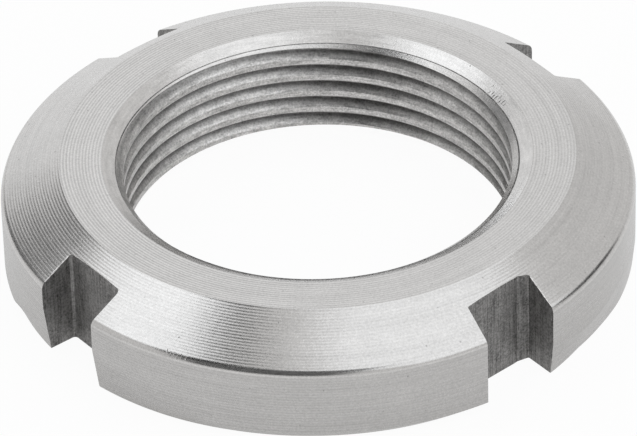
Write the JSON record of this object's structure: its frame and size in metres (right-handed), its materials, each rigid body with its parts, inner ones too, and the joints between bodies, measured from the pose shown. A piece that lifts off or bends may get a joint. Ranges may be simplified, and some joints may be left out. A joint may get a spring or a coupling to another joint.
{
  "type": "bearing lock nut",
  "caption": "Slotted round lock nut in bright turned steel, bevelled at one end, with spanner slots in its rim and a fine threaded bore.",
  "frame": {"origin": "centre of the flat bearing face, on the thread's axis", "axes": "+Z along the thread's axis, from the bearing face to the bevelled end; the spanner slots lie half way between the X and Y axes"},
  "size_m": [0.032, 0.032, 0.0058],
  "materials": {
    "turned_steel": "bright turned"
  },
  "bodies": {
    "root": {"lock_nut": "turned_steel"}
  },
  "joints": []
}
